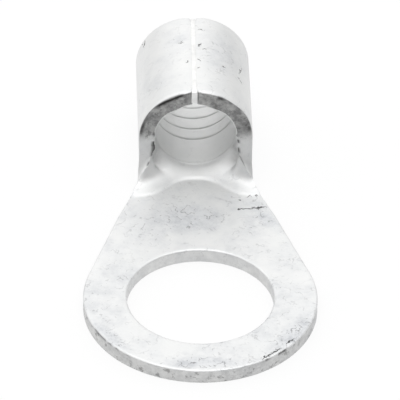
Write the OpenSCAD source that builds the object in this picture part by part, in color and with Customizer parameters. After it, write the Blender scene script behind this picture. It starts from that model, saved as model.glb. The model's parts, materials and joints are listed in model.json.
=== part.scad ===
// Uninsulated ring terminal for a 16 mm2 conductor and an M10 stud.
// It is stamped from one copper sheet, coined flat at the stud end, rolled into a barrel,
// brazed along the seam and tin plated all over.
// Millimetres. The origin is the centre of the stud hole on the underside. +Z points up out
// of the ring's face and +Y runs along the barrel towards its wire end.

/* [Stud end] */
// Diameter of the stud hole
stud_hole_d = 10.5; // [8.5:0.1:11.5]
// Width across the ring
ring_w = 16.7; // [15.6:0.1:18.6]
// Angle between each edge of the tongue and the centre line
flank_angle = 18.6; // [16:0.2:20]
// Thickness of the ring and tongue after coining
tongue_t = 1.1; // [0.9:0.05:1.15]

/* [Barrel] */
// Hole centre to the front face of the barrel
barrel_front_y = 14.05; // [13.9:0.05:15]
// Length of the barrel
barrel_l = 9.25; // [8:0.05:12]
// Outside diameter of the barrel
barrel_od = 8.35; // [7.9:0.05:8.8]
// Thickness of the rolled sheet
sheet_t = 1.2; // [1.1:0.05:1.4]
// Radius on the outer edges at both ends of the barrel
edge_r = 0.2; // [0.1:0.05:0.3]
// Height of the barrel's underside above the tongue's
barrel_rise = 0.35; // [0:0.05:0.5]

/* [Neck] */
// Hole centre to where the tongue's edges turn in more towards the neck
taper_y = 9.2; // [9:0.1:10.5]
// Angle between each edge of the neck and the centre line
neck_angle = 21.8; // [20:0.2:24]
// Hole centre to the line where the flat tongue starts to curl
curl_start_y = 11; // [10.6:0.1:11.4]
// How far behind the barrel's front face the curl is complete
curl_run_in = 0.1; // [0.1:0.05:0.3]
// How late the curl closes up, where 1 is an even roll
curl_power = 4; // [2.5:0.1:4.5]
// Length of the blank's rounded inside corner, from neck to barrel
corner_l = 0.9; // [0.6:0.1:1.5]
// Width of that corner
corner_w = 2.2; // [1.4:0.1:2.4]

/* [Coined flat] */
// Hole centre to the tip of the coined flat
coin_tip_y = 13.5; // [12.5:0.1:13.7]
// Hole centre to the coined flat's shoulders
coin_side_y = 11.5; // [11:0.1:12.4]
// Half width of the coined flat's nose
coin_nose_w = 2.45; // [2:0.05:3]

/* [Serrations] */
// Number of grooves pressed across the bore
groove_count = 4; // [1:1:5]
// Distance from one groove to the next
groove_pitch = 1.27; // [1:0.01:1.4]
// Barrel's wire end to the nearest groove
groove_inset = 1.75; // [1:0.05:2.4]
// Width of a groove
groove_w = 0.26; // [0.2:0.02:0.4]
// Depth of a groove
groove_depth = 0.14; // [0.08:0.02:0.2]
// Angle left plain on each side of the seam
groove_gap = 16; // [8:1:40]

/* [Seam] */
// Width of the open groove along the outside of the seam
seam_w = 0.8; // [0.5:0.05:1.2]
// Depth of that groove
seam_depth = 0.24; // [0.15:0.01:0.35]
// Width of the braze bead that fills it
bead_w = 0.44; // [0.3:0.02:0.5]
// Width of the peak inside the bore, where the rolled edges meet
peak_w = 1.5; // [0.8:0.1:2]
// Height of that peak above the round of the bore
peak_h = 0.22; // [0.1:0.01:0.3]
// Depth of the notch at each end of the seam
notch_depth = 0.3; // [0.15:0.05:0.5]

/* [Hidden] */
$fn = 96;

ring_r = ring_w / 2;
barrel_r = barrel_od / 2;
bore_r = barrel_r - sheet_t;
roll_r = barrel_r - sheet_t / 2;
barrel_end_y = barrel_front_y + barrel_l;
curl_end_y = barrel_front_y + curl_run_in;

// The tongue's edges start this far inside the ring's round, so that line and round cross.
edge_sink = 0.01;
// Past the curl the neck reaches this far into the barrel's wall, this far under its skin.
neck_reach = 0.4;
neck_skin = 0.012;
// Length over which the surface climbs out of the coined flat.
coin_run = 0.5;
// Rows and columns of the curled neck.
neck_rows = 26;
neck_cols = 28;

// 0 up to 1 with a level start and end.
function ease(u) = let(c = min(max(u, 0), 1)) c * c * (3 - 2 * c);

// Share of the full roll at a distance y from the hole centre: 0 is flat, 1 is the barrel.
function curl(y) = pow(ease((y - curl_start_y) / (curl_end_y - curl_start_y)), curl_power);

// The blank's edge: straight along the tongue, then straight along the neck to the inside corner.
function flank(y) =
    ring_r / cos(flank_angle) - min(y, taper_y) * tan(flank_angle)
    - max(y - taper_y, 0) * tan(neck_angle);

// What the inside corner adds to the blank's width, a quarter ellipse that ends at the barrel.
function corner(y) =
    let(along = min(max((y - barrel_front_y) / corner_l + 1, 0), 1))
    corner_w * (1 - sqrt(1 - along * along));

// Half of the flat blank's width at y, which stays the same once it is inside the barrel.
function blank_half(y) = flank(min(y, barrel_front_y)) + corner(y);

// How far the coined flat reaches, at a distance s from the centre line.
function coin_edge(s) = coin_side_y + (coin_tip_y - coin_side_y) * exp(-pow(abs(s) / coin_nose_w, 3));

// Thickness of the sheet at s across and y along.
function thickness(s, y) =
    tongue_t + (sheet_t - tongue_t) * ease((y - coin_edge(s)) / coin_run);

// How far the neck has climbed at s and y: it leaves the coined flat steeply and levels out.
function rise(s, y) =
    let(left = min(max((curl_end_y - y) / (curl_end_y - coin_edge(s)), 0), 1))
    barrel_rise * (1 - left * left);

// A point of the rolled sheet: s across it, y along it, h above its underside.
function sheet_point(s, y, h) =
    curl(y) == 0 ? [s, y, h + rise(s, y)] :
    let(
        outer = roll_r / curl(y) + sheet_t / 2,
        turn = s * curl(y) / roll_r * 180 / PI
    )
    [(outer - h) * sin(turn), y, outer - (outer - h) * cos(turn) + rise(s, y)];

// One row of the neck: the underside from left to right, then the upper side from right to left.
function neck_row(y, skin) =
    let(half = blank_half(y), step = 2 * half / neck_cols)
    concat(
        [for (i = [0:neck_cols]) sheet_point(i * step - half, y, skin)],
        [for (i = [neck_cols:-1:0])
            let(s = i * step - half) sheet_point(s, y, thickness(s, y) - skin)]
    );

// Rows lie closer together towards the barrel, where the blank's corner turns fast.
function neck_y(k) = curl_start_y + (barrel_front_y - curl_start_y) * sin(90 * k / neck_rows);

// The flat ring and tongue, with the stud hole.
module stud_plate() {
    linear_extrude(tongue_t)
        difference() {
            union() {
                circle(ring_r);
                polygon([
                    [-(ring_r - edge_sink) * cos(flank_angle), (ring_r - edge_sink) * sin(flank_angle)],
                    [(ring_r - edge_sink) * cos(flank_angle), (ring_r - edge_sink) * sin(flank_angle)],
                    [flank(taper_y), taper_y],
                    [flank(curl_start_y), curl_start_y],
                    [-flank(curl_start_y), curl_start_y],
                    [-flank(taper_y), taper_y]
                ]);
            }
            circle(d = stud_hole_d);
        }
}

// The sheet between tongue and barrel, lofted from flat to round through its rows.
module curled_neck() {
    side = 2 * (neck_cols + 1);
    rows = concat(
        [for (k = [0:neck_rows - 1]) neck_row(neck_y(k), k == 0 ? 0 : neck_skin * k / neck_rows)],
        [for (k = [0:2]) neck_row(barrel_front_y + curl_run_in * k / 2, neck_skin)],
        [neck_row(curl_end_y + neck_reach, neck_skin)]
    );
    last = (len(rows) - 1) * side;
    polyhedron(
        points = [for (row = rows) each row],
        faces = concat(
            [for (k = [0:len(rows) - 2], i = [0:side - 1], half = [0, 1])
                let(a = k * side + i, b = k * side + (i + 1) % side)
                half == 0 ? [a, b, b + side] : [a, b + side, a + side]],
            [for (i = [0:neck_cols - 1], half = [0, 1])
                let(a = i, b = side - 1 - i)
                half == 0 ? [a, b, b - 1] : [a, b - 1, a + 1]],
            [for (i = [0:neck_cols - 1], half = [0, 1])
                let(a = last + i, b = last + side - 1 - i)
                half == 0 ? [a, b - 1, b] : [a, a + 1, b - 1]]
        )
    );
}

// Turns a shape drawn around +Z from the barrel's front face so that it lies along the barrel.
module along_barrel() {
    translate([0, barrel_front_y, barrel_r])
        rotate([-90, 0, 0])
            children();
}

// The barrel's wall in section, rounded on its outer edges.
module wall_section() {
    difference() {
        translate([bore_r, 0])
            square([sheet_t, barrel_l]);
        for (end = [0, 1])
            translate([barrel_r - edge_r, end == 0 ? edge_r : barrel_l - edge_r])
                difference() {
                    translate([0, end == 0 ? -2 * edge_r : 0])
                        square(2 * edge_r);
                    circle(edge_r);
                }
    }
}

// The grooves across the bore, which stop short of the seam.
module serrations() {
    for (i = [0:groove_count - 1])
        translate([0, 0, barrel_l - groove_inset - i * groove_pitch])
            rotate([0, 0, 270 + groove_gap])
                rotate_extrude(angle = 360 - 2 * groove_gap)
                    polygon([
                        [bore_r - groove_depth, -groove_w],
                        [bore_r + groove_depth, 0],
                        [bore_r - groove_depth, groove_w]
                    ]);
}

// A straight cutter of triangular section over the whole barrel, with its tip up or down.
module seam_cutter(width, base_z, tip_z) {
    translate([0, barrel_end_y + 1, 0])
        rotate([90, 0, 0])
            linear_extrude(barrel_l + 2)
                polygon([[-width / 2, base_z], [width / 2, base_z], [0, tip_z]]);
}

// The wedge missing at one end of the seam, seen from above.
module seam_notch(end_y, inward) {
    translate([0, end_y, barrel_od - 2 * seam_depth])
        linear_extrude(4 * seam_depth)
            polygon([
                [-seam_w / 2, -inward * 0.1],
                [seam_w / 2, -inward * 0.1],
                [0, inward * notch_depth]
            ]);
}

// The round barrel with its serrated bore and its brazed seam.
module barrel() {
    difference() {
        union() {
            difference() {
                along_barrel()
                    rotate_extrude()
                        wall_section();
                seam_cutter(2 * seam_w, barrel_od + seam_depth, barrel_od - seam_depth);
            }
            translate([0, barrel_front_y + edge_r, barrel_od - bead_w / 2 - 0.03])
                rotate([-90, 0, 0])
                    cylinder(d = bead_w, h = barrel_l - 2 * edge_r);
        }
        along_barrel()
            serrations();
        seam_cutter(peak_w, 2 * barrel_r - sheet_t - peak_h, 2 * barrel_r - sheet_t + peak_h);
        seam_notch(barrel_front_y, 1);
        seam_notch(barrel_end_y, -1);
    }
}

// The whole terminal: one sheet, flat at the stud and rolled round the wire.
module terminal() {
    color("gainsboro")
        union() {
            stud_plate();
            curled_neck();
            translate([0, 0, barrel_rise])
                barrel();
        }
}

terminal();
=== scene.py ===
import json
import math

import bmesh
import bpy
from mathutils import Matrix, Vector, noise


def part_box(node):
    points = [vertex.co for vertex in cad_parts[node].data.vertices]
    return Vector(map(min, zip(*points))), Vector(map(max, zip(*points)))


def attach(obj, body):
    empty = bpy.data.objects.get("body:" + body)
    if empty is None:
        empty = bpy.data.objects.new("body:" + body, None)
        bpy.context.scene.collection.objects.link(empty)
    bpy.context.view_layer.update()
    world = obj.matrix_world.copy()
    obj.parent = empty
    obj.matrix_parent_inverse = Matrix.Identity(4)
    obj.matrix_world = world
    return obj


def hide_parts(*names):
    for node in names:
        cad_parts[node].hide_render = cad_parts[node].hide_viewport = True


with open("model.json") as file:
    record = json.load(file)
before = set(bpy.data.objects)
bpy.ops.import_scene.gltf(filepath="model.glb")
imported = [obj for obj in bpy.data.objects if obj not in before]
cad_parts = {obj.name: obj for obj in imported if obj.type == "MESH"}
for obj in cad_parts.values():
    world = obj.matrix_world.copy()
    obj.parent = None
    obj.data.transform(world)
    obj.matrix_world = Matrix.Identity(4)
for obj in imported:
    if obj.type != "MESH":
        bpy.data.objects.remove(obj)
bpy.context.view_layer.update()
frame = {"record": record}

# ---- Camera ----
# A long lens looks down on the stud end, with the barrel behind it, turned a touch to the left
# and held a degree off level.
mm = 0.001
camera_elevation = math.radians(38.0)
camera_azimuth = math.radians(-2.34)
camera_roll = math.radians(1.14)
camera_distance = 400 * mm
camera_aim = Vector((0.214, 9.347, 2.455)) * mm
camera_back = Vector((
    math.sin(camera_azimuth) * math.cos(camera_elevation),
    -math.cos(camera_azimuth) * math.cos(camera_elevation),
    math.sin(camera_elevation),
))
camera_data = bpy.data.cameras.new("camera")
camera_data.lens = 497.7
camera_data.sensor_width = 36
camera_data.clip_start = 10 * mm
camera_data.clip_end = 10
camera = bpy.data.objects.new("camera", camera_data)
bpy.context.scene.collection.objects.link(camera)
camera_turn = camera_back.to_track_quat("Z", "Y").to_matrix() @ Matrix.Rotation(camera_roll, 3, "Z")
camera.matrix_world = Matrix.Translation(camera_aim + camera_back * camera_distance) @ camera_turn.to_4x4()
bpy.context.scene.camera = camera

# ---- Terminal sheet ----
# The whole terminal is one blank of soft copper sheet. It is stamped out flat, coined thinner at
# the stud end, serrated, and then its wide end is rolled up into the barrel.
mounts = {mount["name"]: mount for mount in frame["record"]["mounts"]}
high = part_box("terminal")[1]
hole_r = mounts["stud_hole"]["dims"]["r_mm"]
bore_r = mounts["wire_barrel"]["dims"]["r_mm"]
barrel_l = mounts["wire_barrel"]["dims"]["length_mm"]
axis_z = mounts["wire_barrel"]["pos_m"][2] / mm
tongue_t = mounts["washer_face"]["pos_m"][2] / mm
ring_r = high.x / mm
barrel_end = high.y / mm
barrel_front = barrel_end - barrel_l
sheet_t = 1.2
barrel_r = bore_r + sheet_t
barrel_rise = axis_z - barrel_r
roll_r = barrel_r - sheet_t / 2

# The stamped flanks close in on the tongue, more steeply past taper_y, and turn out round a corner
# to the wide strip that becomes the barrel. Sizes are in mm.
flank_angle = math.radians(18.6)
taper_y = 9.2
neck_angle = math.radians(21.8)
corner_l = 0.9
corner_w = 2.2

# The sheet is flat as far as curl_start and fully rolled from curl_end on.
curl_start = 11
curl_end = barrel_front + 0.1
curl_power = 4
seam_gap = 0.25
half_blank = math.pi * roll_r - seam_gap / 2

# The blank's mesh stops short of its outline by edge_inset, which the rows of the cut edge fill.
edge_inset = 0.34
neck_start = 8.6
neck_cols = 72
side_cols = 56
flank_rows = 34
corner_rows = 22
neck_rows = flank_rows + corner_rows
row_step = 0.15

# Four shallow serrations are pressed across the bore, and a low lip marks where the scoop meets it.
groove_from_end = 1.75
groove_pitch = 1.27
groove_ys = [barrel_end - groove_from_end - groove_pitch * groove for groove in range(4)]
groove_half_w = 0.09
groove_depth = 0.06
lip_y = 14.9
lip_half_w = 0.08
lip_h = 0.08
row_clearance = 0.6 * lip_half_w


# Goes smoothly from 0 where the value is at start to 1 where it is at end.
def eased(value, start=0, end=1):
    share = min(max((value - start) / (end - start), 0.0), 1.0)
    return share * share * (3 - 2 * share)


# On the flat blank, s runs across from the middle, y along and h up through the sheet, all in mm.
# This is the stamped outline beside the tongue, and below it the one round the neck's corners.
def flank_s(y):
    along_tongue = ring_r / math.cos(flank_angle) - min(y, taper_y) * math.tan(flank_angle)
    return along_tongue - max(y - taper_y, 0) * math.tan(neck_angle)


def outline(row):
    corner_start = barrel_front - corner_l
    if row <= flank_rows:
        y = neck_start + (corner_start - neck_start) * row / flank_rows
        return Vector((flank_s(y), y))
    turn = math.radians(90) * (row - flank_rows) / corner_rows
    y = corner_start + corner_l * math.sin(turn)
    return Vector((flank_s(y) + corner_w * (1 - math.cos(turn)), y))


def neck_edge(row):
    if row == 0:
        return flank_s(neck_start) - edge_inset / math.cos(flank_angle), neck_start
    along = Vector((1, 0)) if row == neck_rows else outline(row + 0.01) - outline(row - 0.01)
    along.normalize()
    point = outline(row)
    return point.x - edge_inset * along.y, point.y + edge_inset * along.x


def barrel_rows():
    first = barrel_front + edge_inset
    last = barrel_end - edge_inset
    count = round((last - first) / row_step)
    fixed = [lip_y - lip_half_w, lip_y, lip_y + lip_half_w]
    for groove_y in groove_ys:
        fixed += [groove_y + groove_half_w * part for part in (-1, -0.5, 0, 0.5, 1)]
    free = [first + (last - first) * row / count for row in range(count + 1)]
    kept = [y for y in free if min(abs(y - other) for other in fixed) > row_clearance]
    return sorted(kept + fixed)


# The wide strip of the blank: a grid that narrows to the neck, with the corners beside the neck
# cut away.
row_ys = barrel_rows()
all_rows = neck_rows + len(row_ys) - 1
all_cols = neck_cols + 2 * side_cols
neck_end_s = neck_edge(neck_rows)[0]
bpy.ops.object.select_all(action="DESELECT")
bpy.ops.mesh.primitive_grid_add(x_subdivisions=all_cols, y_subdivisions=all_rows, size=2)
terminal = bpy.context.object
terminal.name = "terminal_sheet"
bpy.ops.object.mode_set(mode="EDIT")
bpy.ops.mesh.select_all(action="DESELECT")
bpy.ops.mesh.select_mode(type="FACE")
sheet = bmesh.from_edit_mesh(terminal.data)
for face in sheet.faces:
    middle = face.calc_center_median()
    row = (middle.y + 1) / 2 * all_rows
    col = abs(middle.x) * all_cols / 2
    face.select = row < neck_rows and col > neck_cols / 2
bmesh.update_edit_mesh(terminal.data)
bpy.ops.mesh.delete(type="FACE")
sheet = bmesh.from_edit_mesh(terminal.data)
for vert in sheet.verts:
    row = round((vert.co.y + 1) / 2 * all_rows)
    col = round(vert.co.x * all_cols / 2)
    if row < neck_rows:
        edge_s, y = neck_edge(row)
        vert.co = Vector((edge_s * col / (neck_cols / 2), y, 0))
        continue
    beside_neck = max(abs(col) - neck_cols / 2, 0) / side_cols
    s = neck_end_s * min(abs(col) / (neck_cols / 2), 1)
    s += (half_blank - edge_inset - neck_end_s) * beside_neck
    vert.co = Vector((math.copysign(s, col), row_ys[row - neck_rows], 0))
bmesh.update_edit_mesh(terminal.data)
bpy.ops.object.mode_set(mode="OBJECT")

# The ring: a circle round the stud hole, extruded outwards until it meets the stamped outline.
ring_rows = 18
ring_flank_steps = 38
ring_arc_steps = 240
ring_steps = neck_cols + 2 * ring_flank_steps + ring_arc_steps
row_gap = 0.1


def ring_edge(step):
    if step > ring_steps / 2:
        mirrored = ring_edge(ring_steps - step)
        return Vector((-mirrored.x, mirrored.y, 0))
    neck_s = flank_s(neck_start) - edge_inset / math.cos(flank_angle)
    neck_corner = Vector((neck_s, neck_start, 0))
    if step <= neck_cols / 2:
        return Vector((neck_s * step / (neck_cols / 2), neck_start, 0))
    step -= neck_cols / 2
    outer_r = ring_r - edge_inset
    tangent = Vector((outer_r * math.cos(flank_angle), outer_r * math.sin(flank_angle), 0))
    if step <= ring_flank_steps:
        return neck_corner.lerp(tangent, step / ring_flank_steps)
    turn = flank_angle - (math.pi + 2 * flank_angle) * (step - ring_flank_steps) / ring_arc_steps
    return Vector((outer_r * math.cos(turn), outer_r * math.sin(turn), 0))


bpy.ops.object.select_all(action="DESELECT")
inner_r = hole_r + edge_inset
bpy.ops.mesh.primitive_circle_add(vertices=ring_steps, radius=inner_r, fill_type="NOTHING")
ring = bpy.context.object
bpy.ops.object.mode_set(mode="EDIT")
bpy.ops.mesh.select_mode(type="VERT")
bpy.ops.mesh.select_all(action="SELECT")
for row in range(ring_rows):
    grow = (inner_r + row_gap * (row + 1)) / (inner_r + row_gap * row)
    bpy.ops.mesh.extrude_region_move()
    bpy.ops.transform.resize(value=(grow, grow, 1))
sheet = bmesh.from_edit_mesh(ring.data)
for vert in sheet.verts:
    row = round((vert.co.length - inner_r) / row_gap)
    turn = math.pi / 2 - math.atan2(vert.co.y, vert.co.x)
    outer = ring_edge(round(turn / math.tau * ring_steps) % ring_steps)
    inner = outer.normalized() * inner_r
    vert.co = inner.lerp(outer, row / ring_rows)
bmesh.update_edit_mesh(ring.data)
bpy.ops.object.mode_set(mode="OBJECT")

# The two are joined, and the rows in the neck are evened out.
merge_distance = 0.005
even_from = 7.2
even_to = lip_y - 2 * lip_half_w
even_passes = 60
bpy.ops.object.select_all(action="DESELECT")
ring.select_set(True)
terminal.select_set(True)
bpy.context.view_layer.objects.active = terminal
bpy.ops.object.join()
bpy.ops.object.mode_set(mode="EDIT")
bpy.ops.mesh.select_all(action="SELECT")
bpy.ops.mesh.remove_doubles(threshold=merge_distance)
sheet = bmesh.from_edit_mesh(terminal.data)
for vert in sheet.verts:
    vert.select = not vert.is_boundary and even_from < vert.co.y < even_to
sheet.select_flush_mode()
bmesh.update_edit_mesh(terminal.data)
bpy.ops.mesh.vertices_smooth(factor=0.5, repeat=even_passes, zaxis=False)

# The sheet gets its thickness, and the cut edge is divided into the rows that shape it.
low_levels = 5
wall_levels = 12
high_levels = 5
levels = low_levels + wall_levels + high_levels
high_start = levels - high_levels
bpy.ops.mesh.select_all(action="SELECT")
bpy.ops.mesh.normals_make_consistent(inside=False)
bpy.ops.mesh.extrude_region_move(TRANSFORM_OT_translate={"value": (0, 0, sheet_t)})
bpy.ops.mesh.select_mode(type="EDGE")
bpy.ops.mesh.select_all(action="DESELECT")
sheet = bmesh.from_edit_mesh(terminal.data)
for edge in sheet.edges:
    edge.select = abs(edge.verts[0].co.z - edge.verts[1].co.z) > sheet_t / 2
bmesh.update_edit_mesh(terminal.data)
bpy.ops.mesh.subdivide(number_cuts=levels - 1)
bpy.ops.mesh.select_all(action="SELECT")
bpy.ops.mesh.normals_make_consistent(inside=False)
bpy.ops.object.mode_set(mode="OBJECT")

# Coining thins the stud end up to a nose on the tongue, in a sharp step that a longer fade follows.
# The bore is peaked along the seam, and beside the seam its front edge sags into a slight point.
coin_tip = 13.5
coin_side = 11.5
coin_nose = 2.45
coin_run = 0.2
coin_fade = 1.2
coin_sharp = 0.4
peak_half_w = 0.9
peak_h = 0.22
sag_h = 0.16
sag_from_seam = 1.6
sag_half_w = 0.9
sag_run = 0.9
point_h = 0.06
point_half_w = 0.6


def coin_edge(s):
    return coin_side + (coin_tip - coin_side) * math.exp(-abs(s / coin_nose) ** 3)


def thickness(s, y):
    past = y - coin_edge(s)
    coined = coin_sharp * eased(past, 0, coin_run) + (1 - coin_sharp) * eased(past, 0, coin_fade)
    from_seam = max(math.pi * roll_r - abs(s), 0)
    sag = sag_h * math.exp(-(((from_seam - sag_from_seam) / sag_half_w) ** 2))
    sag -= point_h * max(0, 1 - from_seam / point_half_w)
    sag *= math.exp(-(((y - barrel_front) / sag_run) ** 2)) * eased(y, barrel_front - 1, barrel_front)
    return tongue_t + (sheet_t - tongue_t) * coined + sag


# Uneven values from -1 to 1, in bumps of a size in mm. Another h gives another pattern.
def rough(s, y, h, size):
    return noise.noise(Vector((s, y, h)) / size)


# Where on the blank's cut edge a point lies: the barrel's face, its closing edges, the neck, or
# the flat stud end. Each was cut or pressed differently, and is rounded to match.
face_from = 12.5
face_to = 14
cheek_from = 10.2
cheek_to = 11.4


def edge_kind(s, y, out):
    on_barrel = eased(y, barrel_front - 0.4, barrel_front - 0.1)
    closing = on_barrel * eased(abs(s), half_blank - 0.5, half_blank - 0.2) * eased(abs(out.x), 0.5, 0.8)
    face = eased(-out.y, 0.5, 0.9) * eased(y, face_from, face_to)
    wire_end = eased(y, barrel_end - 1, barrel_end - 0.5) * (1 - closing)
    cheek = eased(y, cheek_from, cheek_to) * (1 - on_barrel)
    return closing, face * (1 - closing), wire_end, cheek * (1 - face)


# The rounding of the edge, inwards and upwards from its lower corner or down from its upper one,
# and the torn part of its wall.
least_round = 0.05
ragged_share = 0.4
ragged_size = 0.9
near_seam_from = 7.5
near_seam_to = 10
face_round_in = 0.14
face_round_up = 0.07
seam_round_in = 0.22
seam_round_up = 0.1
most_face_round_in = 0.28
wire_round_in = 0.12
wire_round_up = 0.1
flat_round_in = 0.11
flat_round_down = 0.07
closed_low = 0.03
closed_high = 0.02
wall_depth = 0.02
tear_depth = 0.02
face_tear_depth = 0.05
fine_tear = 0.2
coarse_tear = 0.6


def cut_edge(level, s, y, t, closing, face, wire_end, cheek):
    flat_end = max(1 - closing - face - wire_end - cheek, 0)
    ragged = 1 + ragged_share * rough(s, y, 3, ragged_size)
    near_seam = eased(abs(s), near_seam_from, near_seam_to)
    low_in = least_round + wire_round_in * wire_end - closed_low * closing
    low_in += face * min((face_round_in + seam_round_in * near_seam) * ragged, most_face_round_in)
    low_up = least_round + wire_round_up * wire_end - closed_low * closing
    low_up += face * (face_round_up + seam_round_up * near_seam) * ragged
    high_in = least_round + flat_round_in * flat_end * ragged - closed_high * closing
    high_down = least_round + flat_round_down * flat_end * ragged - closed_high * closing
    if level == 0:
        return 0, 0
    if level == levels:
        return 0, t
    if level <= low_levels:
        turn = math.radians(90) * (level - 1) / (low_levels - 1)
        return edge_inset - low_in * (1 - math.sin(turn)), low_up * (1 - math.cos(turn))
    if level >= high_start:
        turn = math.radians(90) * (levels - level - 1) / (high_levels - 1)
        return edge_inset - high_in * (1 - math.sin(turn)), t - high_down * (1 - math.cos(turn))
    share = (level - low_levels) / wall_levels
    h = low_up + (t - low_up - high_down) * share
    torn_part = eased(share, 0.25, 0.55) if flat_end < 0.5 else eased(share, 0.75, 0.45)
    tears = rough(s, y, h * 0.5, fine_tear) + 0.6 * rough(s, y, h, coarse_tear)
    depth = wall_depth + (tear_depth + face_tear_depth * face) * tears * torn_part
    return edge_inset - max(depth, 0) * (1 - closing), h


# How torn that wall looks: most high up on the barrel's face, least on the cheeks and in the hole.
torn_wall = 0.4
torn_face_low = 0.1
torn_face_high = 1.0
torn_cheek = 0.05
torn_hole = 0.25


def torn_share(s, y, face, cheek):
    high_on_face = eased(math.degrees(abs(s) / roll_r), 82, 104)
    torn_face = torn_face_low + (torn_face_high - torn_face_low) * high_on_face
    share = torn_wall + (torn_face - torn_wall) * face + (torn_cheek - torn_wall) * cheek
    if math.hypot(s, y) < hole_r + edge_inset + 0.1:
        share += torn_hole - torn_wall
    return share


def neck_side(s, cheek, face):
    return max(cheek, face * eased(math.degrees(abs(s) / roll_r), 106, 91))


# How much painted shade a gap takes, on top of its pressed-in recess: where the sheared face has folded
# under its outer edge, along the broken burr on the neck's inner edge, and in cracks on the ring's rim.
# Folds and cracks are each given as where they start and end in degrees, over how many they come in
# and go out, and how deep they are.
folds = [(-172, -128, 6, 12, 1.0), (-122, -92, 8, 8, 0.9), (146, 158, 5, 5, 0.8), (96, 108, 5, 5, 0.7)]
rim_cracks = [(-63, -42, 4, 4, 1.0), (-160, -134, 4, 4, 0.6)]
gap_depth = 0.06
burr_h = 0.2
burr_in = 0.16
burr_size = 0.3


def deepest(stretches, turn):
    depths = []
    for start, end, comes_in, goes_out, depth in stretches:
        depths.append(depth * eased(turn, start, start + comes_in) * eased(turn, end, end - goes_out))
    return max(depths)


def gap_at(level, s, y, out, face, cheek):
    fold = deepest(folds, math.degrees(s / roll_r)) * eased(0.9 + 1.2 * rough(s, y, 5, 0.7))
    broken = eased(0.5 + 2.2 * rough(s, y, 9, 0.45))
    rim = deepest(rim_cracks, math.degrees(math.atan2(out.y, out.x)))
    rim *= eased(0.7 + 2 * rough(s, y, 7, 0.4)) * (y < 0)
    near_low = math.exp(-(((level - low_levels - 1) / 1.5) ** 2))
    near_high = math.exp(-(((high_start - level) / 1.4) ** 2))
    return max(face * fold * near_low, neck_side(s, cheek, face) * near_high * broken, rim * near_high)


def upper_relief(s, y):
    relief = 0
    if y > barrel_front:
        from_seam = math.pi * roll_r - abs(s)
        if from_seam > peak_half_w + 0.1:
            for groove_y in groove_ys:
                relief -= groove_depth * max(0, 1 - abs(y - groove_y) / groove_half_w)
        relief -= peak_h * max(0, 1 - from_seam / peak_half_w)
        relief += lip_h * math.exp(-(((y - lip_y) / lip_half_w) ** 2))
    return relief


# Rolling. The seam lies a little to the left and not quite straight. The scoop's inside is rolled
# up later than its outside, so that it flares down to the tongue, and the barrel is lifted off the
# level of the tongue on the way.
seam_offset = -0.13
seam_skew = 0.12
scoop_half_w = 5.5
scoop_fade = 3.5
flare_fade = 2.2
flare_outside = 0.25
rise_power = 1.5
skew_from_s = 8
skew_to_s = 10
skew_from_y = 12
skew_to_y = 13.5


def seam_x(y):
    return seam_offset + seam_skew * (y - barrel_front) / barrel_l


def rise(s, y):
    top = curl_end + (lip_y - curl_end) * eased(abs(s), scoop_half_w, scoop_half_w - scoop_fade)
    left = min(max((top - y) / (top - coin_edge(s) + 0.1), 0), 1)
    return barrel_rise * (1 - left ** rise_power)


def rolled(s, y, h):
    skewed = eased(abs(s), skew_from_s, skew_to_s) * eased(y, skew_from_y, skew_to_y)
    s -= seam_x(y) * roll_r / barrel_r * skewed
    corner = min(max((y - barrel_front + corner_l) / corner_l, 0), 1)
    half_w = min(flank_s(y) + corner_w * (1 - math.sqrt(1 - corner * corner)), scoop_half_w)
    late = (lip_y - curl_end) * eased(abs(s), half_w, half_w - flare_fade)
    late *= flare_outside + (1 - flare_outside) * h / sheet_t
    curl = eased(y - late, curl_start, curl_end) ** curl_power
    if curl < 1e-6:
        return Vector((s, y, h + rise(s, y)))
    outer_r = roll_r / curl + sheet_t / 2
    turn = s * curl / roll_r
    radius = outer_r - h
    return Vector((radius * math.sin(turn), y, outer_r - radius * math.cos(turn) + rise(s, y)))


# Each point is moved out to its place on the cut edge, then carried round as the sheet is rolled.
# Painted shade darkens the inside of the scoop where it curves tightest, in the torn edge's grey. The
# seam's edges are pressed in a little.
crease_s = 4
crease_y = 14.15
crease_half_w = 0.9
crease_half_l = 0.5
crease_painted_shade = 0.55
seam_sink = 0.035
seam_sink_w = 0.7
sheet = bmesh.new()
sheet.from_mesh(terminal.data)
outwards = {}
for face in sheet.faces:
    if abs(face.normal.z) < 0.5:
        for vert in face.verts:
            key = (round(vert.co.x, 3), round(vert.co.y, 3))
            outwards[key] = outwards.get(key, Vector((0, 0, 0))) + face.normal
upper = sheet.verts.layers.float.new("upper")
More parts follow.
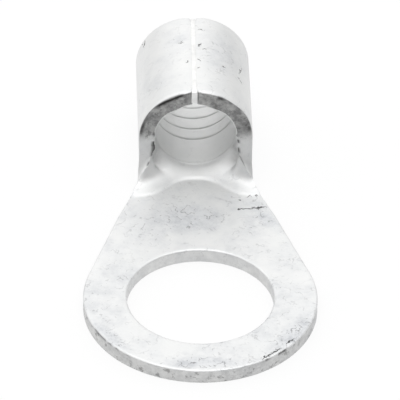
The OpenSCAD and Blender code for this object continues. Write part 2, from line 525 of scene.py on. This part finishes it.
# The share of torn metal on the cut edge, which also carries the painted shade in the scoop's tightest
# curve.
torn_and_crease_shade = sheet.verts.layers.float.new("torn_and_crease_shade")
gap = sheet.verts.layers.float.new("gap")
for vert in sheet.verts:
    s, y, h = vert.co
    level = round(h / sheet_t * levels)
    key = (round(s, 3), round(y, 3))
    t = thickness(s, y)
    h = 0 if level == 0 else t
    vert[upper] = level / levels
    if level > high_start:
        across_crease = (abs(s) - crease_s) / crease_half_w
        along_crease = (y - crease_y) / crease_half_l
        # Painted shade where the scoop curves tightest.
        vert[torn_and_crease_shade] = crease_painted_shade * math.exp(-(across_crease ** 2) - along_crease ** 2)
    if key in outwards:
        out = outwards[key].normalized()
        closing, face, wire_end, cheek = edge_kind(s, y, out)
        step_out, h = cut_edge(level, s, y, t, closing, face, wire_end, cheek)
        vert[gap] = gap_at(level, s, y, out, face, cheek)
        if low_levels <= level <= high_start:
            vert[torn_and_crease_shade] = torn_share(s, y, face, cheek)
        s += out.x * (step_out - gap_depth * vert[gap])
        y += out.y * (step_out - gap_depth * vert[gap])
        if high_start <= level < levels:
            burr = neck_side(s, cheek, face)
            h += burr_h * burr * max(rough(s, y, 0, burr_size) + 0.1, 0)
            s -= out.x * burr_in * burr * max(rough(s, y, 6, burr_size), 0)
    if level == levels:
        h += upper_relief(s, y)
    pressed = seam_sink * eased(abs(s), half_blank - seam_sink_w, half_blank)
    h += pressed * (1 - h / sheet_t) * eased(y, barrel_front - 0.5, barrel_front - 0.1)
    vert.co = rolled(s, y, h) * mm
sheet.to_mesh(terminal.data)
sheet.free()
bpy.ops.object.mode_set(mode="EDIT")
bpy.ops.mesh.select_all(action="SELECT")
bpy.ops.mesh.normals_make_consistent(inside=False)
bpy.ops.object.mode_set(mode="OBJECT")
bpy.ops.object.shade_smooth()


# Sets a socket to a value, or links it to another socket or to a node's first open output.
def feed(value, socket):
    if isinstance(value, bpy.types.Node):
        value = next(output for output in value.outputs if output.enabled)
    if isinstance(value, bpy.types.NodeSocket):
        socket.id_data.links.new(value, socket)
    else:
        socket.default_value = value


# Adds a node with its settings, and feeds its open inputs in their order.
def add(tree, kind, *inputs, **settings):
    node = tree.nodes.new("ShaderNode" + kind)
    for name, setting in settings.items():
        setattr(node, name, setting)
    for value, socket in zip(inputs, [socket for socket in node.inputs if socket.enabled]):
        feed(value, socket)
    return node


def linear(code):
    parts = [int(code[start:start + 2], 16) / 255 for start in (1, 3, 5)]
    return [part / 12.92 if part <= 0.04045 else ((part + 0.055) / 1.055) ** 2.4 for part in parts] + [1]


# Matt electroplated tin over copper: a soft, almost white metal with a fine satin grain. Tumbling
# with its fellows has scuffed the flats into grey clouds and left pits, nicks and dull rubs. Painted
# shade is laid in too: along the front of the ring's outer edge, in the scoop's tightest curve and in
# the gaps of the cut edge.
tin = bpy.data.materials.new("matt_electroplated_tin")
tin.use_nodes = True
tree = tin.node_tree
shader = tree.nodes["Principled BSDF"]
place = add(tree, "TexCoord").outputs["Object"]
coords = add(tree, "SeparateXYZ", place).outputs
on_upper = add(tree, "Attribute", attribute_name="upper").outputs["Fac"]
torn_and_crease_shade_share = add(tree, "Attribute", attribute_name="torn_and_crease_shade").outputs["Fac"]
# Painted shade in the gaps of the cut edge.
gap_shade = add(tree, "Attribute", attribute_name="gap").outputs["Fac"]

# Uneven patterns: the size of their marks in mm, how many finer sizes are mixed in and how
# strongly, and the values at which a mark begins and is full.
patterns = {
    "clouds_and_rim_shade": (3.1, 4, 0.6, 0.35, 0.68),
    "haze_and_rim_shade": (0.9, 7, 0.72, 0.38, 0.68),
    "scratches": (0.6, 3, 0.6, 0.49, 0.57),
    "pits": (0.24, 2, 0.6, 0.69, 0.75),
    "torn": (0.6, 6, 0.7, 0.35, 0.65),
    "flecks": (0.45, 5, 0.7, 0.54, 0.66),
}
pattern = {}
for name, (size, finer_sizes, finer_share, begins, full) in patterns.items():
    uneven = add(tree, "TexNoise", place, 1 / (size * mm), finer_sizes, finer_share)
    pattern[name] = add(tree, "MapRange", uneven, begins, full, 0, 1, interpolation_type="SMOOTHSTEP")

# Soft spots on one side of the sheet: ellipses of across, along, half length, half width in mm,
# angle in degrees, and 1 for the face side or 0 for the outside of the barrel. A spot is full and
# gone at these shares of its ellipse.
above_axis = add(
    tree, "MapRange", coords["Z"], (axis_z - 0.5) * mm, axis_z * mm, 0, 1, interpolation_type="SMOOTHSTEP"
)
outside = add(tree, "MapRange", on_upper, 0, 0.3, 1, 0, interpolation_type="SMOOTHSTEP")
outside = add(tree, "Math", outside, above_axis, operation="MULTIPLY")
face_side = add(tree, "MapRange", on_upper, 0.7, 1, 0, 1, interpolation_type="SMOOTHSTEP")
sides = [outside, face_side]


def spots(shapes, at, full, gone):
    total = 0.0
    for across, along, half_l, half_w, angle, side in shapes:
        middle = (across * mm, along * mm, 0)
        turn = (0, 0, math.radians(angle))
        half_sizes = (half_l * mm, half_w * mm, 1)
        ellipse = add(tree, "Mapping", at, middle, turn, half_sizes, vector_type="TEXTURE")
        reach = add(tree, "VectorMath", ellipse, operation="LENGTH")
        spot = add(tree, "MapRange", reach, full, gone, 1, 0, interpolation_type="SMOOTHSTEP")
        spot = add(tree, "Math", spot, sides[side], operation="MULTIPLY")
        total = add(tree, "Math", spot, total, operation="MAXIMUM")
    return total


# Scuffs: where the flats have rubbed on other terminals, a haze with fine curled scratches and
# specks in it. Three spots along the front of the ring's outer edge are painted shade instead, drawn
# with the same haze. The bore is cleaner, and the outside of the barrel lies between.
# The spots at (6.6, -4.2), (-6.8, -4.4) and (0, -7.4) lie along the ring's front outer edge and are painted
# shade of that edge rolling down, not wear.
wear_and_rim_shade_places = [
    (-0.7, 8.9, 3.4, 2.0, 0, 1), (5.0, 8.9, 1.5, 0.9, -60, 1), (6.6, -4.2, 3.6, 1.2, 55, 1),
    (-6.8, -4.4, 3.0, 0.9, -55, 1), (0, -7.4, 3.5, 0.8, 0, 1), (1.9, 19.3, 3.2, 1.3, 80, 0),
    (-1.2, 20.6, 1.2, 0.8, 40, 0),
]
bore_wear = 0.1
outside_wear = 0.5
cloud_wear = 0.5
spot_full = 0.2
spot_gone = 1.3
flat_axes = (1, 1, 0)
plan = add(tree, "VectorMath", place, flat_axes, operation="MULTIPLY")
wear_and_rim_shade = spots(wear_and_rim_shade_places, plan, spot_full, spot_gone)
clouds_and_rim_shade = add(tree, "Math", pattern["clouds_and_rim_shade"], cloud_wear, operation="MULTIPLY")
clouds_and_rim_shade = add(tree, "Math", clouds_and_rim_shade, wear_and_rim_shade, operation="MAXIMUM")
in_barrel = add(
    tree, "MapRange", coords["Y"], 13.2 * mm, 14.2 * mm, 0, 1, interpolation_type="SMOOTHSTEP"
)
in_bore = add(tree, "Math", in_barrel, on_upper, operation="MULTIPLY")
for region, wear in [(in_bore, bore_wear), (outside, outside_wear)]:
    kept = add(tree, "MapRange", region, 0, 1, 1, wear, interpolation_type="SMOOTHSTEP")
    clouds_and_rim_shade = add(tree, "Math", clouds_and_rim_shade, kept, operation="MULTIPLY")
haze_and_rim_shade = add(tree, "Math", pattern["haze_and_rim_shade"], clouds_and_rim_shade, operation="MULTIPLY")
pits = add(tree, "Math", pattern["pits"], clouds_and_rim_shade, operation="MULTIPLY")

# A scratch follows the middle value of an uneven pattern, which makes it a thin curled line.
scratch_size = 1.0
thin = 0.004
thick = 0.028
curled = add(tree, "TexNoise", place, 1 / (scratch_size * mm), 3, 0.5)
curled = add(tree, "Math", curled, 0.5, operation="SUBTRACT")
curled = add(tree, "Math", curled, operation="ABSOLUTE")
curled = add(tree, "MapRange", curled, thin, thick, 1, 0, interpolation_type="SMOOTHSTEP")
curled = add(tree, "Math", curled, pattern["scratches"], operation="MULTIPLY")
on_scuffs = add(tree, "Math", clouds_and_rim_shade, 0.9, 0.06, operation="MULTIPLY_ADD")
scratches = add(tree, "Math", curled, on_scuffs, operation="MULTIPLY")

# Single nicks, cracks and scratches, with jagged edges.
marks = [
    (3.55, 10.03, 0.5, 0.07, 6, 1), (4.55, 10.13, 0.62, 0.12, 8, 1), (3.1, 10.02, 0.16, 0.07, -20, 1),
    (3.86, 11.4, 0.22, 0.04, 12, 1), (4.4, 11.5, 0.1, 0.05, 40, 1), (3.2, 11.06, 0.18, 0.05, -15, 1),
    (4.5, -6.75, 0.6, 0.06, 33, 1), (5.15, -6.2, 0.5, 0.08, 40, 1), (6.1, -5.2, 0.4, 0.06, 48, 1),
    (-1.02, 20.22, 0.17, 0.06, 35, 0), (-0.57, 17.76, 0.14, 0.05, 40, 0), (2.07, 17.82, 0.14, 0.05, -30, 0),
    (3.35, 18.85, 0.75, 0.03, 78, 0), (3.3, 17.5, 0.3, 0.03, -65, 0), (-3.58, 22.6, 0.4, 0.05, 85, 0),
    (0.36, 19.82, 0.2, 0.07, 60, 0), (0.31, 17.96, 0.2, 0.05, -50, 0), (0.28, 16.98, 0.12, 0.05, 20, 0),
    (0.55, 21.69, 0.22, 0.035, 0, 0), (0.75, 19.4, 0.2, 0.04, 10, 0),
]
mark_full = 0.6
mark_gone = 1.2
jag_size = 0.3
jag_reach = 0.7
jag = add(tree, "TexNoise", place, 1 / (jag_size * mm), 3).outputs["Color"]
jag = add(tree, "VectorMath", jag, (0.5, 0.5, 0.5), operation="SUBTRACT")
jag = add(tree, "VectorMath", jag, jag_reach * mm, operation="SCALE")
jagged = add(tree, "VectorMath", place, jag, operation="ADD")
jagged = add(tree, "VectorMath", jagged, flat_axes, operation="MULTIPLY")
mark = spots(marks, jagged, mark_full, mark_gone)

# The colour is built up in coats, each with how much it covers: clean tin first, then the wear, whose
# cloud and haze also lay painted shade along the front of the ring's outer edge. Sheared edges show
# torn, greyer metal with dark flecks, and the same grey is laid as painted shade into the scoop's
# tightest curve. The marks are darkest, and the gaps take painted shade as dark.
tint = add(tree, "TexNoise", place, 1 / (1.2 * mm), 4, 0.6)
colour = add(tree, "Mix", tint, linear("#EBECEC"), linear("#F5F5F4"), data_type="RGBA")
# The cloud and haze coats carry the painted shade along the ring's front edge as well as the wear.
coats = [
    (clouds_and_rim_shade, 0.55, "#DEE0E3"), (haze_and_rim_shade, 0.85, "#CBCDD0"), (scratches, 0.65, "#848485"),
    (pits, 0.7, "#6A6A6B"),
]
for coat, cover, code in coats:
    covered = add(tree, "Math", coat, cover, operation="MULTIPLY")
    colour = add(tree, "Mix", covered, colour, linear(code), data_type="RGBA")
torn = add(tree, "Mix", pattern["torn"], linear("#929292"), linear("#C4C4C3"), data_type="RGBA")
# Torn grey on the cut edges, and painted shade in the scoop's tightest curve.
colour = add(tree, "Mix", torn_and_crease_shade_share, colour, torn, data_type="RGBA")
on_torn = add(tree, "MapRange", torn_and_crease_shade_share, 0.2, 0.4, 0, 0.5, interpolation_type="SMOOTHSTEP")
flecks = add(tree, "Math", pattern["flecks"], on_torn, operation="MULTIPLY")
below_face = add(tree, "MapRange", on_upper, 0.78, 0.82, 1, 0, interpolation_type="SMOOTHSTEP")
flecks = add(tree, "Math", flecks, below_face, operation="MULTIPLY")
colour = add(tree, "Mix", flecks, colour, linear("#5C5B5B"), data_type="RGBA")
# Marks are darkened as marks; the gaps get painted shade.
marks_and_gap_shade = add(tree, "Math", mark, 0.85, operation="MULTIPLY")
marks_and_gap_shade = add(tree, "Math", gap_shade, marks_and_gap_shade, operation="MAXIMUM")
colour = add(tree, "Mix", marks_and_gap_shade, colour, linear("#2E2D2D"), data_type="RGBA")
feed(colour, shader.inputs["Base Color"])
feed(1, shader.inputs["Metallic"])

satin = 0.58
hazed_satin = add(tree, "Math", haze_and_rim_shade, 0.06, satin, operation="MULTIPLY_ADD")
torn_satin = add(tree, "Math", torn_and_crease_shade_share, 0.04, hazed_satin, operation="MULTIPLY_ADD")
feed(torn_satin, shader.inputs["Roughness"])

# The grain of matt tin is a few thousandths of a millimetre across, too fine to show, so it is
# drawn 0.09 mm across. Heights are shares of the bump's depth.
bump_depth = 0.02
matt_grain = add(tree, "TexNoise", place, 1 / (0.09 * mm), 3, 0.6)
torn_grain = add(tree, "TexNoise", place, 1 / (0.25 * mm), 4, 0.6)
torn_grain = add(tree, "Math", torn_grain, torn_and_crease_shade_share, operation="MULTIPLY")
relief = 0.0
for layer, height in [(matt_grain, 0.25), (scratches, -0.5), (pits, -0.8), (mark, -2.0), (torn_grain, 2.0)]:
    relief = add(tree, "Math", layer, height, relief, operation="MULTIPLY_ADD")
bump = add(tree, "Bump", 1.0, bump_depth * mm)
feed(relief, bump.inputs["Height"])
feed(bump, shader.inputs["Normal"])
terminal.data.materials.append(tin)
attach(terminal, "root")
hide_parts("terminal")

# ---- Braze in the seam ----
# A bar of brazing alloy fills the gap where the two edges of the rolled sheet meet. It is run in
# hot, lies level with the sheet, and is tin plated with the rest.
braze_w = 0.42
braze_top = high.z / mm - 0.004
braze_low = axis_z + bore_r + 0.16
braze_recess = 0.05
braze_bevel = 0.05
braze_cuts = 70
braze_wave = 0.012
braze_crown = 0.9
wire_end_sink = 0.15
front_sink = 0.06
bpy.ops.object.select_all(action="DESELECT")
bpy.ops.mesh.primitive_cube_add(size=1, location=(0, 0, 0))
braze = bpy.context.object
braze.name = "seam_braze"
bpy.ops.object.mode_set(mode="EDIT")
bpy.ops.mesh.select_mode(type="EDGE")
bpy.ops.transform.resize(value=(braze_w, barrel_l - 2 * braze_recess, braze_top - braze_low))
bpy.ops.mesh.select_all(action="DESELECT")
bar = bmesh.from_edit_mesh(braze.data)
for edge in bar.edges:
    edge.select = abs(edge.verts[0].co.y - edge.verts[1].co.y) > barrel_l / 2 and edge.verts[0].co.z > 0
bmesh.update_edit_mesh(braze.data)
bpy.ops.mesh.bevel(offset=braze_bevel, segments=3, affect="EDGES")
bpy.ops.mesh.select_all(action="DESELECT")
bar = bmesh.from_edit_mesh(braze.data)
for edge in bar.edges:
    edge.select = abs(edge.verts[0].co.y - edge.verts[1].co.y) > barrel_l / 2
bmesh.update_edit_mesh(braze.data)
bpy.ops.mesh.subdivide(number_cuts=braze_cuts)
bar = bmesh.from_edit_mesh(braze.data)
for vert in bar.verts:
    x = vert.co.x
    y = vert.co.y + (barrel_front + barrel_end) / 2
    z = vert.co.z + (braze_top + braze_low) / 2
    wave = noise.noise(Vector((x * 2, y * 1.3, 0)))
    sunk = braze_wave * (1 + wave) + braze_crown * x * x
    sunk += wire_end_sink * eased(y, barrel_end - 0.4, barrel_end)
    sunk += front_sink * eased(y, barrel_front + 0.3, barrel_front)
    vert.co = Vector((x + seam_x(y) + braze_wave * wave, y, z - sunk * eased(vert.co.z, 0, 0.3))) * mm
bmesh.update_edit_mesh(braze.data)
bpy.ops.object.mode_set(mode="OBJECT")
bpy.ops.object.shade_smooth_by_angle(angle=math.radians(40))

# Tinned brazing alloy: it froze smooth, so it is brighter and cleaner than the sheet beside it.
smooth_tin = bpy.data.materials.new("tinned_braze")
smooth_tin.use_nodes = True
tree = smooth_tin.node_tree
shader = tree.nodes["Principled BSDF"]
place = add(tree, "TexCoord").outputs["Object"]
run = add(tree, "TexNoise", place, 1 / (0.9 * mm), 3, 0.6)
run = add(tree, "MapRange", run, 0.35, 0.7, 0, 1, interpolation_type="SMOOTHSTEP")
colour = add(tree, "Mix", run, linear("#FBFBFA"), linear("#EDEDEC"), data_type="RGBA")
sheen = add(tree, "TexNoise", place, 1 / (0.4 * mm), 3, 0.6)
sheen = add(tree, "MapRange", sheen, 0.3, 0.7, 0.42, 0.52, interpolation_type="SMOOTHSTEP")
ripple_depth = 0.01
ripple = add(tree, "TexNoise", place, 1 / (0.2 * mm), 3, 0.6)
bump = add(tree, "Bump", 0.5, ripple_depth * mm)
feed(ripple, bump.inputs["Height"])
feed(1, shader.inputs["Metallic"])
feed(colour, shader.inputs["Base Color"])
feed(sheen, shader.inputs["Roughness"])
feed(bump, shader.inputs["Normal"])
braze.data.materials.append(smooth_tin)
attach(braze, "root")

# ---- Studio ----
# A white floor runs out of sight under a plain white sky, which large soft boxes brighten
# overhead, on both sides, behind and, more weakly, in front.
floor_gap = 0.01
bpy.ops.object.select_all(action="DESELECT")
bpy.ops.mesh.primitive_plane_add(size=2, location=(0, 0, -floor_gap * mm))
floor = bpy.context.object
floor.name = "floor"

# White seamless paper. It is lit from below too, so that it stays white to the eye and in the
# metal's reflections, and still takes a faint shadow.
paper_glow = 0.85
paper = bpy.data.materials.new("white_paper")
paper.use_nodes = True
tree = paper.node_tree
shader = tree.nodes["Principled BSDF"]
feed((0.9, 0.9, 0.9, 1), shader.inputs["Base Color"])
feed(0.9, shader.inputs["Roughness"])
rays = add(tree, "LightPath").outputs
lit = add(tree, "Math", rays["Is Camera Ray"], rays["Is Glossy Ray"], operation="MAXIMUM")
lit = add(tree, "Math", lit, paper_glow, operation="MULTIPLY")
glow = add(tree, "Emission", (1, 1, 1, 1), 1.0)
surface = add(tree, "MixShader", lit, shader, glow)
feed(surface, tree.nodes["Material Output"].inputs["Surface"])
floor.data.materials.append(paper)

# The soft boxes: where each one stands, as a direction, and its power. Focus is how sharply a box
# fades from its middle.
world = bpy.data.worlds.new("studio")
bpy.context.scene.world = world
world.use_nodes = True
tree = world.node_tree
background = tree.nodes["Background"]
feed((1, 1, 1, 1), background.inputs["Color"])
direction = add(tree, "TexCoord").outputs["Generated"]
box_focus = 9
soft_boxes = [
    ((0, 0, 1), 1.85), ((-0.94, 0, 0.34), 1.4), ((0.94, 0, 0.34), 1.05), ((0, -0.94, 0.34), 0.45),
    ((0, -0.42, 0.91), 1.6), ((0, 0.94, 0.34), 1.0), ((-0.58, 0.58, 0.57), 1.0), ((0.58, 0.58, 0.57), 0.85),
]
sky = 0.0
for towards, power in soft_boxes:
    facing = add(tree, "VectorMath", direction, towards, operation="DOT_PRODUCT")
    faded = add(tree, "Math", facing, box_focus, -box_focus, operation="MULTIPLY_ADD")
    box = add(tree, "Math", faded, operation="EXPONENT")
    sky = add(tree, "Math", box, power, sky, operation="MULTIPLY_ADD")
seen = add(tree, "LightPath").outputs["Is Camera Ray"]
plain_white = 1.0
strength = add(tree, "Mix", seen, sky, plain_white)
feed(strength, background.inputs["Strength"])

bpy.context.scene.view_settings.view_transform = "Standard"
